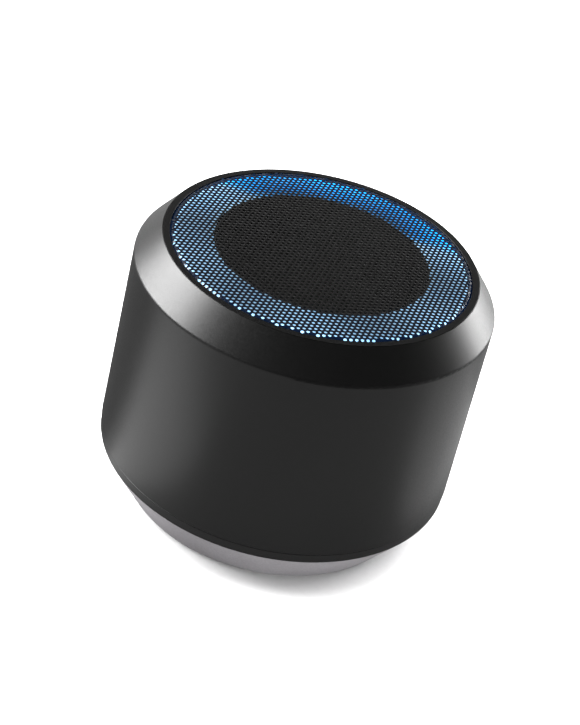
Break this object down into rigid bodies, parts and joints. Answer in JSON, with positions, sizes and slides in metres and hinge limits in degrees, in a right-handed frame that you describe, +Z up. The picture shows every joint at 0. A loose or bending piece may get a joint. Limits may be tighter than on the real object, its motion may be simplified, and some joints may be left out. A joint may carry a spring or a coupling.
{
  "type": "bluetooth speaker",
  "caption": "Round wireless loudspeaker with a chamfered metal shell, a perforated top grille over a lit ring, and rear buttons, sockets and power switch.",
  "frame": {"origin": "centre of the rubber pad's underside, on the surface it stands on", "axes": "+Z up along the body's axis, +Y towards the rear panel with the sockets, +X to the right seen from the front"},
  "size_m": [0.0668, 0.0668, 0.0531],
  "materials": {
    "shell_coat": "satin, fine grain",
    "black_plastic": "satin",
    "ring_plastic": "satin",
    "grille_steel": "satin black",
    "diffuser": "milky",
    "board_green": "solder mask",
    "board_white": "white solder mask",
    "led_body": "white ceramic and gel",
    "frame_plastic": "moulded",
    "basket_steel": "stamped steel",
    "plate_steel": "zinc plated",
    "magnet_coat": "ferrite",
    "gasket_foam": "closed-cell foam",
    "surround_rubber": "matte",
    "spider_cloth": "resin-treated cotton",
    "cone_paper": "pressed pulp",
    "cap_paper": "pressed pulp",
    "former_film": "film",
    "coil_copper": "enamelled wire",
    "base_coat": "light grey, fine grain",
    "foot_rubber": "matte",
    "battery_film": "pouch film",
    "foam_tape": "foam",
    "screw_steel": "black zinc",
    "chip_epoxy": "moulded epoxy",
    "can_aluminium": "electrolytic can",
    "connector_nylon": "nylon",
    "connector_steel": "nickel plated",
    "jack_plastic": "moulded",
    "switch_metal": "nickel plated",
    "button_plastic": "satin",
    "wire_jacket": "insulation"
  },
  "bodies": {
    "housing": {"body_shell": "shell_coat", "trim_ring": "ring_plastic", "grille": "grille_steel", "light_ring": "diffuser", "led_board": "board_white", "leds": "led_body", "upper_frame": "frame_plastic", "driver_basket": "basket_steel", "driver_gasket": "gasket_foam", "surround": "surround_rubber", "spider": "spider_cloth", "top_plate": "plate_steel", "magnet": "magnet_coat", "yoke": "plate_steel", "speaker_terminals": "board_green", "tray": "black_plastic", "base_cup": "base_coat", "foot_pad": "foot_rubber", "battery_cell": "battery_film", "battery_pad": "foam_tape", "battery_board": "board_green", "base_screws": "screw_steel", "frame_screws": "screw_steel", "shell_screws": "screw_steel", "rear_panel": "black_plastic", "main_board": "board_green", "bluetooth_chip": "chip_epoxy", "amplifier_chip": "chip_epoxy", "board_capacitors": "can_aluminium", "board_connectors": "connector_nylon", "usb_socket": "connector_steel", "usb_tongue": "jack_plastic", "aux_jack": "jack_plastic", "power_switch": "switch_metal", "tact_switches": "switch_metal", "microphone": "switch_metal", "board_screws": "screw_steel", "battery_leads": "wire_jacket", "speaker_leads": "wire_jacket", "led_leads": "wire_jacket"},
    "diaphragm": {"cone": "cone_paper", "dust_cap": "cap_paper", "coil_former": "former_film", "voice_coil": "coil_copper"},
    "minus_key": {"button_minus": "button_plastic", "plunger_minus": "jack_plastic"},
    "play_key": {"button_play": "button_plastic", "plunger_play": "jack_plastic"},
    "plus_key": {"button_plus": "button_plastic", "plunger_plus": "jack_plastic"},
    "power_slide": {"switch_knob": "button_plastic", "switch_slider": "jack_plastic"}
  },
  "joints": [
    {"name": "cone_excursion", "type": "slide", "parent": "housing", "child": "diaphragm", "axis": [0, 0, 1], "range_m": [-0.0015, 0.0015], "stiffness_N_per_m": 900, "deforming": ["surround", "spider"]},
    {"name": "minus_press", "type": "slide", "parent": "housing", "child": "minus_key", "axis": [0, -1, 0], "range_m": [0, 0.0004], "stiffness_N_per_m": 3000},
    {"name": "play_press", "type": "slide", "parent": "housing", "child": "play_key", "axis": [0, -1, 0], "range_m": [0, 0.0004], "stiffness_N_per_m": 3000},
    {"name": "plus_press", "type": "slide", "parent": "housing", "child": "plus_key", "axis": [0, -1, 0], "range_m": [0, 0.0004], "stiffness_N_per_m": 3000},
    {"name": "power_slide", "type": "slide", "parent": "housing", "child": "power_slide", "axis": [1, 0, 0], "range_m": [0, 0.002]}
  ]
}
